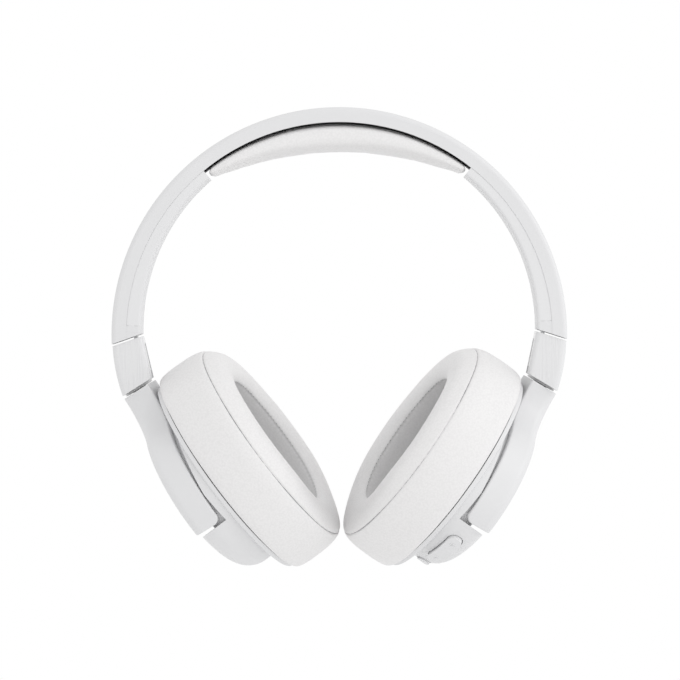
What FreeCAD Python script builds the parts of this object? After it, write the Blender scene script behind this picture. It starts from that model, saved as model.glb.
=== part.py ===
import FreeCAD, Part
import math
import os

# Over-ear headphones with sliding, folding, swivelling and tilting ear cups. Units are mm.
# X runs from the wearer's left ear to the right ear, +Y is the wearer's forward direction,
# +Z is up. The origin is the centre of the headband's arc, the middle of the wearer's head.
# Each side is modelled on +X. The left side is its mirror image, at its own resting swivel.

V = FreeCAD.Vector

# ---- driving sizes: headband ----
BAND_R = 93.0            # outer radius of the band
BAND_SKIN = 2.2          # thickness of the outer skin and of the shell's side walls
PART_LINE = 6.1          # depth of the shell's side walls, down to the parting line
HEAD_R = 80.6            # radius of the band's inside
HEAD_RISE = 3.0          # the inside arc's centre lies this far above the outer arc's
CROWN_WIDTH = 32.0       # front-to-back width of the band at the crown
END_WIDTH = 22.0         # the same at the ear level
END_SLANT = 18.7         # slant of the band's end cut, degrees
END_DROP = 0.4           # height of the end cut's middle above the ear line
TRIM_WALL = 1.8          # wall of the inner trims
TRIM_END = 86.6          # and end this many degrees from it
TRIM_TOP = 38.8          # the trims start this many degrees from the crown
PAD_SPAN = 38.0          # the crown pad reaches this many degrees each side
PAD_DEPTH = 11.2         # thickness of the crown pad at its middle
PAD_ARC = 131.5          # radius of the pad's underside
BASE_THICK = 1.6         # thickness of the pad's base plate
SPRING_THICK = 0.8       # spring steel strip in the band
SPRING_WIDTH = 12.0
SPRING_SPAN = 62.0       # the strip reaches this many degrees each side
SPRING_LIFT = 1.2        # gap between the strip and the shell's skin
RIVET_R = 1.2
RIVET_ANGLES = (-55.0, 0.0, 55.0)
CABLE_WIDTH = 3.6
CABLE_SHIFT = 6.0        # the flat cable lies this far behind the middle of the band
TRIM_SCREWS = (-66.0, -44.0, 44.0, 66.0)
TRIM_SCREW_LENGTH = 3.6

# ---- driving sizes: slider and hinge block ----
STRIP_X = 83.3           # distance of the slider strip from the middle plane
STRIP_THICK = 1.2
STRIP_WIDTH = 12.0
STRIP_HEAD = 15.0        # width of the strip's stop head
STRIP_TOP = 32.0
STRIP_BOTTOM = -10.0
HEAD_LENGTH = 3.5        # length of the stop head
SLIDE_TRAVEL = 25.0
NOTCH_PITCH = 2.5
NOTCH_R = 0.6
GUIDE_TOP = 3.2
BLOCK_DEPTH = 20.0       # front-to-back size of the hinge block
BLOCK_GAP = 0.9          # gap between the band's end and the block
BLOCK_EDGE = 2.2         # rounding of the block's long edges
WINDOW_WIDTH = 9.0
WINDOW_TOP = -2.2
WINDOW_BOTTOM = -10.2
NECK_X = 82.3            # centre of the swivel joint
NECK_Z = -20.5
NECK_GAP = 1.3           # gap between the block and the yoke
YOKE_TILT = 31.5         # tilt of the swivel axis from upright, degrees

# ---- driving sizes: fold hinge and swivel ----
KNUCKLE_R = 3.2
KNUCKLE_HALF = 4.5
FOLD_X = -4.4            # fold axis, from the swivel centre, across the neck
FOLD_Z = 4.0             # fold axis, from the swivel centre, up the neck
PIN_R = 1.25
PIN_HALF = 8.6
STEM_R = 3.0
STEM_LENGTH = 14.0
FLANGE_R = 6.2
FLANGE_TOP = 2.6
RUN_FIT = 0.05           # radial clearance of shafts that turn
PART_GAP = 0.35          # clearance between parts that move past each other
WASHER_R = 4.2
WASHER_THICK = 1.0

# ---- driving sizes: yoke ----
NECK_HALF = 9.0          # half of the neck's front-to-back width
BLOCK_OUT = 7.2          # outer face of the block's lower end
BLOCK_IN = -7.1          # inner face of the same
NECK_OUT = 6.5           # outer face of the neck
NECK_IN = -5.8           # inner face of the neck
YOKE_BULGE = 6.2         # outer face at the middle of the cover
YOKE_LOW_OUT = 5.3       # outer face at the flat lower edge
YOKE_RIM_IN = -7.0       # inner edge of the cover's side walls
YOKE_LENGTH = 63.4       # from the swivel centre to the flat lower edge
YOKE_WALL = 2.2
YOKE_PLATE = 2.3
YOKE_R = 36.8            # radius of the round cover
FLARE_R = 19.0           # concave radius between neck and cover
YOKE_EDGE = 4.0          # rounding of the cover's outer edge
RIM_EDGE = 0.8           # rounding of its inner edge
LIP_CORNER = 3.3         # rounding of the side walls' lower corners
TILT_X = -1.0            # tilt pins, across the yoke
TILT_Z = -51.3           # tilt pins, along the yoke
TILT_PIN_R = 2.0
TILT_PIN_REACH = 6.0
TILT_PIN_BITE = 1.4

# ---- driving sizes: ear cup ----
CUP_LEAN = 4.3           # resting lean of the cup in the yoke, degrees
CUP_DEPTH = 12.0         # from the cushion's back plane out to the tilt pins
HOUSING_R = 36.2
HOUSING_WALL = 2.0
HOUSING_OUT = 19.3       # depth of the uncovered lower part
HOUSING_SOFT = 10.0      # rounding of its outer edge
CORE_GAP = 1.0           # gap between the yoke cover's wall and the covered part
CORE_OUT = 12.8          # depth of the covered part
CORE_SOFT = 6.0
TILT_RANGE = (-7.0, 1.0) # tilt from rest, degrees; positive leans the cup's top outwards
TILT_SPARE = 1.2         # the housing clears the cover by this much more than the range
STEP_GAP = 1.3           # gap below the yoke's flat lower edge
FLANGE_A = 45.6          # half length of the baffle's flange
FLANGE_B = 37.0          # half width of it
BAFFLE = 2.0
CUSHION_SHIFT = 1.1      # the oval's middle lies this far above the tilt pins
CUSHION_A = 48.3         # half length of the ear cushion
CUSHION_B = 38.0         # half width
CUSHION_END = 31.5       # radius of its ends
CUSHION_DEPTH = 24.7
CUSHION_RISE = 3.0       # the cushion is this much thicker at its upper end
CUSHION_SOFT = 8.2
CUSHION_BACK = 2.5       # rounding of the cushion's back edge
OPENING_A = 29.5         # half length of the ear opening
OPENING_B = 20.5
OPENING_END = 17.0
RING_THICK = 1.2
MESH_THICK = 0.6
DRIVER_R = 19.5
DRIVER_DEPTH = 4.6
MAGNET_R = 11.5
MAGNET_DEPTH = 4.0
DIAPHRAGM = 0.4
SCREW_R = 1.2
SCREW_LENGTH = 9.0
SCREW_CIRCLE = 27.5
REST_SWIVEL = {"left": 10.5, "right": 12.5}

# ---- driving sizes: controls and sockets, angles round the rim from the bottom ----
ROCKER_ANGLE = 41.0
ROCKER_LENGTH = 20.0
ROCKER_WIDTH = 6.0
ROCKER_RAISE = 1.5
PLAY_ANGLE = 9.0
PLAY_LENGTH = 7.0
PLAY_WIDTH = 5.0
PLAY_RAISE = 0.6
SWITCH_ANGLE = -16.0
SWITCH_LENGTH = 5.0
SWITCH_WIDTH = 3.0
SWITCH_TRAVEL = 3.0
USB_ANGLE = -40.0
USB_WIDTH = 9.0
USB_HEIGHT = 3.3
USB_DEPTH = 7.0
JACK_ANGLE = -62.0
JACK_R = 1.8
JACK_LENGTH = 12.0
JACK_BODY = 6.4
LIGHT_ANGLE = -27.0
MIC_ANGLE = -96.0
MIC_X = 5.2              # the microphone's distance from the cushion's back plane
RIM_X = 10.0             # the controls' distance from the cushion's back plane
BUTTON_DEPTH = 3.2
LIP = 0.9                # lip that keeps each button in


# ---- helpers ----
def box(x0, x1, y0, y1, z0, z1):
    return Part.makeBox(x1 - x0, y1 - y0, z1 - z0, V(x0, y0, z0))


def rod(radius, start, direction, length):
    return Part.makeCylinder(radius, length, start, direction)


def extrude_y(wire, half):
    face = Part.Face(wire)
    face.translate(V(0, -half, 0))
    return face.extrude(V(0, 2 * half, 0))


def polygon_y(points, half):
    corners = [V(x, 0, z) for x, z in points]
    return extrude_y(Part.makePolygon(corners + [corners[0]]), half)


def polar(radius, degrees):
    angle = math.radians(degrees)
    return V(radius * math.sin(angle), 0, radius * math.cos(angle))


def raised_r(radius, degrees, rise):
    # distance from the origin, in this direction, to a circle whose centre is raised
    angle = math.radians(degrees)
    return rise * math.cos(angle) + math.sqrt(radius ** 2 - (rise * math.sin(angle)) ** 2)


def sector(r_out, r_in, half, start, end, rise_in=0.0):
    # part of a ring round the Y axis; angles are from the crown, the inner arc may be raised
    middle = (start + end) / 2
    outer = Part.Arc(polar(r_out, start), polar(r_out, middle), polar(r_out, end))
    inner = Part.Arc(*[polar(raised_r(r_in, angle, rise_in), angle)
                       for angle in (end, middle, start)])
    edges = [outer.toShape(), Part.LineSegment(outer.EndPoint, inner.StartPoint).toShape(),
             inner.toShape(), Part.LineSegment(inner.EndPoint, outer.StartPoint).toShape()]
    return extrude_y(Part.Wire(edges), half)


def oval_wire(a, b, end_r, x):
    # four-arc oval in the plane at x, long axis along Z
    side_r = ((a - end_r) ** 2 + b ** 2 - end_r ** 2) / (2 * (b - end_r))
    angle = math.atan2(a - end_r, side_r - b)
    along = math.sin(angle) * side_r
    across = math.cos(angle) * side_r - (side_r - b)
    top, bottom = V(x, 0, a), V(x, 0, -a)
    front, back = V(x, -b, 0), V(x, b, 0)
    arcs = [Part.Arc(V(x, -across, along), top, V(x, across, along)),
            Part.Arc(V(x, across, along), back, V(x, across, -along)),
            Part.Arc(V(x, across, -along), bottom, V(x, -across, -along)),
            Part.Arc(V(x, -across, -along), front, V(x, -across, along))]
    return Part.Wire([arc.toShape() for arc in arcs])


def oval(a, b, end_r, x0, x1):
    solid = Part.Face(oval_wire(a, b, end_r, x0)).extrude(V(x1 - x0, 0, 0))
    solid.translate(V(0, 0, CUSHION_SHIFT))
    return solid


def round_edges(shape, radius, wanted):
    edges = [edge for edge in shape.Edges if wanted(edge)]
    return shape.makeFillet(radius, edges)


def at_x(x):
    # edges that lie wholly in the plane at x
    return lambda edge: abs(edge.BoundBox.XMin - x) < 1e-4 and abs(edge.BoundBox.XMax - x) < 1e-4


def turn(shape, origin, axis, degrees):
    copy = shape.copy()
    copy.rotate(origin, axis, degrees)
    return copy


def mirror_x(shape):
    return shape.mirror(V(0, 0, 0), V(1, 0, 0))


# ---- frames of one side ----
def neck_point():
    return V(NECK_X, 0, NECK_Z)


def stem_axis():
    tilt = math.radians(YOKE_TILT)
    return V(math.sin(tilt), 0, math.cos(tilt))


def from_yoke(shape):
    # yoke frame: swivel centre at the origin, +X away from the head, +Z up the neck
    placed = turn(shape, V(0, 0, 0), V(0, 1, 0), YOKE_TILT)
    placed.translate(neck_point())
    return placed


def cup_to_yoke(shape):
    # cup frame: middle of the cushion's back plane at the origin, +X away from the head
    placed = shape.copy()
    placed.translate(V(-CUP_DEPTH, 0, 0))
    placed = turn(placed, V(0, 0, 0), V(0, 1, 0), CUP_LEAN)
    placed.translate(V(TILT_X, 0, TILT_Z))
    return placed


def swivelled(shape, side):
    return turn(shape, neck_point(), stem_axis(), REST_SWIVEL[side])


def set_side(shape, side):
    return shape if side == "right" else mirror_x(shape)


def place_block(shape, side):
    return set_side(shape, side)


def place_link(shape, side):
    return set_side(from_yoke(shape), side)


def place_yoke(shape, side):
    return set_side(swivelled(from_yoke(shape), side), side)


def place_cup(shape, side):
    return set_side(swivelled(from_yoke(cup_to_yoke(shape)), side), side)


# ---- headband ----
def below_end(offset):
    # everything below the band's slanted end cut, lowered by offset
    slant = math.radians(END_SLANT)
    middle = (BAND_R + HEAD_R) / 2
    reach = 40.0
    rise = reach * math.tan(slant)
    level = END_DROP - 0.8 - offset
    points = [(middle - reach, level + rise), (middle + reach, level - rise),
              (middle + reach, -200.0), (middle - reach, -200.0)]
    return polygon_y(points, 60.0)


def width_envelope(inset):
    # the band narrows evenly from the crown to its ends
    low = -20.0
    slope = (CROWN_WIDTH - END_WIDTH) / 2 / BAND_R
    half_low = END_WIDTH / 2 + slope * low - inset
    half_high = CROWN_WIDTH / 2 - inset
    corners = [V(-120, -half_low, low), V(-120, half_low, low),
               V(-120, half_high, BAND_R + 0.01), V(-120, -half_high, BAND_R + 0.01)]
    return Part.Face(Part.makePolygon(corners + [corners[0]])).extrude(V(240, 0, 0))


def trim_ends(shape, offset=0.0):
    cutter = below_end(offset)
    return shape.cut(cutter).cut(mirror_x(cutter))


def band_shell():
    outer = sector(BAND_R, BAND_R - PART_LINE, 30.0, -97, 97).common(width_envelope(0))
    outer = trim_ends(outer)
    long_edges = [edge for edge in outer.Edges
                  if edge.Length > 150 and edge.BoundBox.ZMax > BAND_R - 0.5]
    outer = outer.makeFillet(1.9, long_edges)
    hollow = sector(BAND_R - BAND_SKIN, BAND_R - PART_LINE - 1, 30.0, -97, 97)
    hollow = hollow.common(width_envelope(BAND_SKIN))
    shell = outer.cut(hollow).fuse(shell_end())
    return shell.fuse(mirror_x(shell_end()))


def band_cover(gap):
    # U-shaped inner side of the band's right half, from the pad's end down to the end cut
    outer = sector(BAND_R - PART_LINE - gap, HEAD_R, 30.0, TRIM_TOP, 97, HEAD_RISE)
    outer = trim_ends(outer.common(width_envelope(0.15)))
    inner_edges = [edge for edge in outer.Edges
                   if edge.Length > 50 and edge.BoundBox.DiagonalLength < 75
                   and edge.BoundBox.XMax < HEAD_R + 1.0]
    outer = outer.makeFillet(1.5, inner_edges)
    hollow = sector(BAND_R, HEAD_R + TRIM_WALL, 30.0, TRIM_TOP + 1.2, 99, HEAD_RISE)
    hollow = hollow.common(width_envelope(TRIM_WALL + 0.15))
    return outer.cut(hollow)


def band_trim(side):
    # the part of the cover that is a piece of its own
    below = sector(BAND_R, HEAD_R - 4, 30.0, TRIM_END, 99)
    return set_side(band_cover(0.05).cut(below), side)


def shell_end():
    # the last few degrees of the cover, moulded in one with the shell
    below = sector(BAND_R, HEAD_R - 4, 30.0, TRIM_END + 0.05, 99)
    return band_cover(-0.3).common(below)


def crown_pad_base():
    outer_r = BAND_R - PART_LINE - 0.05
    plate = sector(outer_r, outer_r - BASE_THICK, 30.0, -PAD_SPAN - 0.3, PAD_SPAN + 0.3)
    return plate.common(width_envelope(0.4))


def crown_pad():
    outer_r = BAND_R - PART_LINE - BASE_THICK - 0.35
    top_z = BAND_R - PART_LINE - PAD_DEPTH
    centre_z = top_z - PAD_ARC
    end = polar(outer_r, PAD_SPAN)
    low_x = end.x - 1.2
    low_z = centre_z + math.sqrt(PAD_ARC ** 2 - low_x ** 2)
    outer = Part.Arc(V(-end.x, 0, end.z), V(0, 0, outer_r), end)
    under = Part.Arc(V(low_x, 0, low_z), V(0, 0, top_z), V(-low_x, 0, low_z))
    edges = [outer.toShape(), Part.LineSegment(end, V(low_x, 0, low_z)).toShape(),
             under.toShape(), Part.LineSegment(V(-low_x, 0, low_z), V(-end.x, 0, end.z)).toShape()]
    body = extrude_y(Part.Wire(edges), 30.0).common(width_envelope(0.6))
    long_edges = [edge for edge in body.Edges
                  if edge.Length > 90 and edge.BoundBox.ZMax < outer_r - 4]
    return body.makeFillet(3.5, long_edges)


def spring_r():
    return BAND_R - BAND_SKIN - SPRING_LIFT


def band_spring():
    radius = spring_r()
    strip = sector(radius, radius - SPRING_THICK, SPRING_WIDTH / 2, -SPRING_SPAN, SPRING_SPAN)
    for angle in RIVET_ANGLES:
        strip = strip.cut(rod(RIVET_R + 0.05, polar(radius - 3, angle), polar(1, angle), 6))
    return strip


def band_rivets():
    # rivets that hold the spring strip up to the shell
    rivets = []
    for angle in RIVET_ANGLES:
        low = spring_r() - SPRING_THICK
        head = rod(RIVET_R * 1.8, polar(low - 1.2, angle), polar(1, angle), 1.1)
        shank = rod(RIVET_R, polar(low - 1.2, angle), polar(1, angle),
                    1.2 + SPRING_THICK + SPRING_LIFT - 0.05)
        rivets.append(head.fuse(shank))
    return rivets


def band_cable():
    # flat cable that joins the two cups, beside the screws
    radius = BAND_R - PART_LINE + 0.6
    strip = sector(radius, radius - 0.5, CABLE_WIDTH / 2, -70, 70)
    strip.translate(V(0, CABLE_SHIFT, 0))
    return strip


def band_screws():
    # four screws that hold the trims up into the shell
    screws = []
    for angle in TRIM_SCREWS:
        base = raised_r(HEAD_R + TRIM_WALL, angle, HEAD_RISE) + 0.3
        shank = rod(SCREW_R, polar(base, angle), polar(1, angle), TRIM_SCREW_LENGTH)
        head = rod(SCREW_R * 1.7, polar(base, angle), polar(1, angle), 1.1)
        screws.append(shank.fuse(head))
    return screws


# ---- slider ----
def strip_slot(clearance):
    half_x = STRIP_THICK / 2 + clearance
    half_y = STRIP_WIDTH / 2 + clearance
    return box(STRIP_X - half_x, STRIP_X + half_x, -half_y, half_y, -60, 60)


def slider_guide(side):
    # plug in the band's end that guides the strip
    body = sector(BAND_R - BAND_SKIN - 0.1, HEAD_R + TRIM_WALL + 0.1, 30.0, 80, 97, HEAD_RISE)
    body = body.common(width_envelope(BAND_SKIN + 0.2))
    body = trim_ends(body).common(box(60, 120, -30, 30, -30, GUIDE_TOP))
    body = body.cut(strip_slot(0.15))
    return set_side(body, side)


def slider_strip(side):
    half = STRIP_THICK / 2
    blade = box(STRIP_X - half, STRIP_X + half, -STRIP_WIDTH / 2, STRIP_WIDTH / 2,
                STRIP_BOTTOM, STRIP_TOP)
    head = box(STRIP_X - half, STRIP_X + half, -STRIP_HEAD / 2, STRIP_WIDTH / 2,
               STRIP_TOP - HEAD_LENGTH, STRIP_TOP)
    blade = blade.fuse(head)
    count = int(SLIDE_TRAVEL / NOTCH_PITCH)
    for index in range(count):
        height = GUIDE_TOP + 1.5 + index * NOTCH_PITCH
        if height < STRIP_TOP - HEAD_LENGTH - NOTCH_R:
            notch = rod(NOTCH_R, V(STRIP_X - 1, STRIP_WIDTH / 2, height), V(1, 0, 0), 2)
            blade = blade.cut(notch)
    for height in (STRIP_BOTTOM + 2.0, STRIP_BOTTOM + 6.0):
        blade = blade.cut(rod(1.0, V(STRIP_X - 1, 0, height), V(1, 0, 0), 2))
    return set_side(blade, side)


def strip_screws(side):
    screws = []
    for height in (STRIP_BOTTOM + 2.0, STRIP_BOTTOM + 6.0):
        start = V(STRIP_X - STRIP_THICK / 2 - 0.9, 0, height)
        head = rod(1.7, start, V(1, 0, 0), 0.9)
        shank = rod(0.95, start, V(1, 0, 0), 4.5)
        screws.append(set_side(head.fuse(shank), side))
    return screws


def detent_spring(side):
    # leaf whose nose rests in a notch of the strip
    y0 = STRIP_WIDTH / 2 + 0.25
    leaf = box(STRIP_X - 0.5, STRIP_X + 0.5, y0 + 0.5, y0 + 0.8, GUIDE_TOP, GUIDE_TOP + 6.0)
    nose = rod(0.5, V(STRIP_X - 0.5, y0 + 0.5, GUIDE_TOP + 4.0), V(1, 0, 0), 1.0)
    return set_side(leaf.fuse(nose), side)


def block_profile():
    # outline of the hinge block seen from the front
    slant = math.radians(END_SLANT)
    middle = (BAND_R + HEAD_R) / 2
    top_in = V(HEAD_R - 0.3, 0, END_DROP - 0.8 - BLOCK_GAP + (middle - HEAD_R) * math.tan(slant))
    top_out = V(BAND_R - 0.3, 0,
                END_DROP - 0.8 - BLOCK_GAP - (BAND_R - 0.3 - middle) * math.tan(slant))
    stem = stem_axis()
    across = V(stem.z, 0, -stem.x)
    base = neck_point() + stem * (NECK_GAP / 2)
    low_out = base + across * BLOCK_OUT
    low_in = base + across * BLOCK_IN
    mid_out = V(BAND_R - 1.5, 0, (top_out.z + low_out.z) / 2)
    outer = Part.Arc(top_out, mid_out, low_out).toShape()
    edges = [Part.LineSegment(top_in, top_out).toShape(), outer,
             Part.LineSegment(low_out, low_in).toShape(),
             Part.LineSegment(low_in, top_in).toShape()]
    return Part.Wire(edges)


def link_space():
    # room for the hinge link in the block, in the yoke frame
    pocket = rod(FLANGE_R + 0.4, V(0, 0, 0), V(0, 0, 1), FLANGE_TOP + 0.5)
    half = KNUCKLE_HALF + 0.3
    barrel = rod(KNUCKLE_R + PART_GAP, V(FOLD_X, -half, FOLD_Z), V(0, 1, 0), 2 * half)
    mouth = box(FOLD_X - 8, FOLD_X + 1.5, -half, half, 0, FOLD_Z)
    front = box(FOLD_X - 8, FOLD_X, -half, half, FOLD_Z, FOLD_Z + KNUCKLE_R + PART_GAP)
    wide = FLANGE_R + 0.4
    sweep = box(FOLD_X - 8, 0, -wide, wide, -2, FLANGE_TOP + 0.8)
    return pocket.fuse(barrel).fuse(mouth).fuse(front).fuse(sweep)


def hinge_block(side):
    body = extrude_y(block_profile(), BLOCK_DEPTH / 2)
    long_edges = [edge for edge in body.Edges
                  if abs(edge.BoundBox.YMax - edge.BoundBox.YMin) < 0.01 and edge.Length > 15]
    body = body.makeFillet(BLOCK_EDGE, long_edges)
    pocket = box(STRIP_X - 0.7, STRIP_X + 0.7, -STRIP_WIDTH / 2 - 0.1, STRIP_WIDTH / 2 + 0.1,
                 STRIP_BOTTOM - 0.2, 20)
    body = body.cut(pocket)
    window = box(70, STRIP_X, -WINDOW_WIDTH / 2, WINDOW_WIDTH / 2, WINDOW_BOTTOM, WINDOW_TOP)
    body = body.cut(window)
    for height in (STRIP_BOTTOM + 2.0, STRIP_BOTTOM + 6.0):
        body = body.cut(rod(1.0, V(STRIP_X, 0, height), V(1, 0, 0), 4.6))
    body = body.cut(from_yoke(link_space()))
    pin_hole = rod(PIN_R, V(FOLD_X, -PIN_HALF - 0.1, FOLD_Z), V(0, 1, 0), 2 * PIN_HALF + 0.2)
    body = body.cut(from_yoke(pin_hole))
    return place_block(body, side)


# ---- fold hinge ----
def hinge_pin(side):
    pin = rod(PIN_R, V(FOLD_X, -PIN_HALF, FOLD_Z), V(0, 1, 0), 2 * PIN_HALF)
    return place_link(pin, side)


def hinge_link(side):
    stem = rod(STEM_R, V(0, 0, -STEM_LENGTH), V(0, 0, 1), STEM_LENGTH + 1)
    flange = rod(FLANGE_R, V(0, 0, -0.3), V(0, 0, 1), FLANGE_TOP + 0.3)
    start = V(FOLD_X, -KNUCKLE_HALF, FOLD_Z)
    knuckle = rod(KNUCKLE_R, start, V(0, 1, 0), 2 * KNUCKLE_HALF)
    web = box(FOLD_X, FOLD_X + KNUCKLE_R, -KNUCKLE_HALF, KNUCKLE_HALF, 1.0, FOLD_Z)
    body = stem.fuse(flange).fuse(knuckle).fuse(web)
    hole_r = PIN_R + RUN_FIT
    hole = rod(hole_r, V(FOLD_X, -PIN_HALF, FOLD_Z), V(0, 1, 0), 2 * PIN_HALF)
    tap = rod(1.0, V(0, 0, -STEM_LENGTH - 0.1), V(0, 0, 1), 6.0)
    return place_link(body.cut(hole).cut(tap), side)


def swivel_screw(side):
    # washer and screw that keep the stem in the yoke
    washer = rod(WASHER_R, V(0, 0, -STEM_LENGTH - WASHER_THICK), V(0, 0, 1), WASHER_THICK)
    head = rod(2.2, V(0, 0, -STEM_LENGTH - WASHER_THICK - 1.2), V(0, 0, 1), 1.2)
    shank = rod(0.95, V(0, 0, -STEM_LENGTH - WASHER_THICK), V(0, 0, 1), 5.5)
    return place_link(washer.fuse(head).fuse(shank), side)


# ---- yoke ----
def yoke_outline():
    # neck, concave flare and round cover, seen along X, in the yoke frame
    centre_z = TILT_Z
    flare_y = NECK_HALF + FLARE_R
    flare_z = centre_z + math.sqrt((YOKE_R + FLARE_R) ** 2 - flare_y ** 2)
    share = YOKE_R / (YOKE_R + FLARE_R)
    meet = V(0, flare_y * share, centre_z + (flare_z - centre_z) * share)
    toward = V(0, -flare_y, centre_z - flare_z)
    toward.normalize()
    bisect = V(0, -1, 0) + toward
    bisect.normalize()
    middle = V(0, flare_y, flare_z) + bisect * FLARE_R
    low_y = math.sqrt(YOKE_R ** 2 - (YOKE_LENGTH + centre_z) ** 2)
    top = -NECK_GAP / 2
    side = V(0, YOKE_R, centre_z)

    def flip(point):
        return V(0, -point.y, point.z)

    neck_top, neck_low, low = V(0, NECK_HALF, top), V(0, NECK_HALF, flare_z), V(0, low_y, -YOKE_LENGTH)
    edges = [Part.LineSegment(flip(neck_top), neck_top).toShape(),
             Part.LineSegment(neck_top, neck_low).toShape(),
             Part.Arc(neck_low, middle, meet).toShape(),
             Part.Arc(meet, side, low).toShape(),
             Part.LineSegment(low, flip(low)).toShape(),
             Part.Arc(flip(low), flip(side), flip(meet)).toShape(),
             Part.Arc(flip(meet), flip(middle), flip(neck_low)).toShape(),
             Part.LineSegment(flip(neck_low), flip(neck_top)).toShape()]
    return Part.Wire(edges)


def yoke_side_solid():
    # side view of the yoke: nearly even thickness from the neck to the flat lower edge
    top = -NECK_GAP / 2
    corner = LIP_CORNER
    low = -YOKE_LENGTH
    slant = corner * (1 - math.sqrt(0.5))
    outer = Part.Arc(V(NECK_OUT, 0, top), V(YOKE_BULGE, 0, low / 2), V(YOKE_LOW_OUT, 0, low))
    edges = [outer.toShape(),
             Part.LineSegment(V(YOKE_LOW_OUT, 0, low), V(YOKE_RIM_IN + corner, 0, low)).toShape(),
             Part.Arc(V(YOKE_RIM_IN + corner, 0, low), V(YOKE_RIM_IN + slant, 0, low + slant),
                      V(YOKE_RIM_IN, 0, low + corner)).toShape(),
             Part.LineSegment(V(YOKE_RIM_IN, 0, low + corner), V(NECK_IN, 0, top)).toShape(),
             Part.LineSegment(V(NECK_IN, 0, top), V(NECK_OUT, 0, top)).toShape()]
    return extrude_y(Part.Wire(edges), 60.0)


def plate_inside():
    # inner face of the cover's plate
    return YOKE_LOW_OUT - YOKE_PLATE


def yoke(side):
    face = Part.Face(yoke_outline())
    face.translate(V(-30, 0, 0))
    body = face.extrude(V(60, 0, 0)).common(yoke_side_solid())
    outer_edges = [edge for edge in body.Edges
                   if edge.BoundBox.XMin > YOKE_LOW_OUT - 0.5 and edge.BoundBox.ZLength > 2]
    body = body.makeFillet(YOKE_EDGE, outer_edges)
    rim_edges = [edge for edge in body.Edges
                 if edge.BoundBox.XMax < NECK_IN + 0.01 and edge.BoundBox.ZLength > 2]
    body = body.makeFillet(RIM_EDGE, rim_edges)
    room = rod(YOKE_R - YOKE_WALL, V(-20, 0, TILT_Z), V(1, 0, 0), 20 + plate_inside())
    body = body.cut(room)
    body = body.cut(rod(STEM_R + RUN_FIT, V(0, 0, -30), V(0, 0, 1), 40))
    seat = rod(WASHER_R + 0.4, V(0, 0, -26), V(0, 0, 1), 26 - STEM_LENGTH + 0.15)
    body = body.cut(seat)
    for way in (-1, 1):
        start = V(TILT_X, way * (YOKE_R - YOKE_WALL - 1), TILT_Z)
        body = body.cut(rod(TILT_PIN_R, start, V(0, way, 0), 1 + TILT_PIN_BITE))
    return place_yoke(body, side)


def tilt_pins(side):
    pins = []
    inner = YOKE_R - YOKE_WALL - CORE_GAP - TILT_PIN_REACH
    length = TILT_PIN_REACH + CORE_GAP + TILT_PIN_BITE
    for way in (-1, 1):
        pin = rod(TILT_PIN_R, V(TILT_X, way * inner, TILT_Z), V(0, way, 0), length)
        pins.append(place_yoke(pin, side))
    return pins


# ---- ear cup ----
def core_r():
    return YOKE_R - YOKE_WALL - CORE_GAP


def rim_frame(shape, angle):
    # rim frame: +Z points out of the rim at this angle from the bottom, +X along the cup's axis
    placed = turn(shape, V(0, 0, 0), V(1, 0, 0), 180.0 - angle)
    return placed


def rim_pad(length, width, low, high):
    # round-ended pad whose top follows the rim
    half = (length - width) / 2
    body = box(RIM_X - width / 2, RIM_X + width / 2, -half, half, 20, 60)
    for way in (-1, 1):
        body = body.fuse(rod(width / 2, V(RIM_X, way * half, 20), V(0, 0, 1), 40))
    body = body.common(rod(high, V(-10, 0, 0), V(1, 0, 0), 60))
    return body.cut(rod(low, V(-10, 0, 0), V(1, 0, 0), 60))


def control_pad(length, width, raise_by):
    top = rim_pad(length, width, HOUSING_R - BUTTON_DEPTH, HOUSING_R + raise_by)
    low = HOUSING_R - BUTTON_DEPTH - 0.6
    lip = rim_pad(length + 2 * LIP, width + 2 * LIP, low, HOUSING_R - BUTTON_DEPTH + 0.2)
    return top.fuse(lip)


def control_hole(length, width):
    gap = PART_GAP
    through = rim_pad(length + 2 * gap, width + 2 * gap, 20.0, HOUSING_R + 5)
    seat_top = HOUSING_R - BUTTON_DEPTH + 0.9
    wide = LIP + gap
    seat = rim_pad(length + 2 * wide, width + 2 * wide, 20.0, seat_top)
    return through.fuse(seat)


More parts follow.
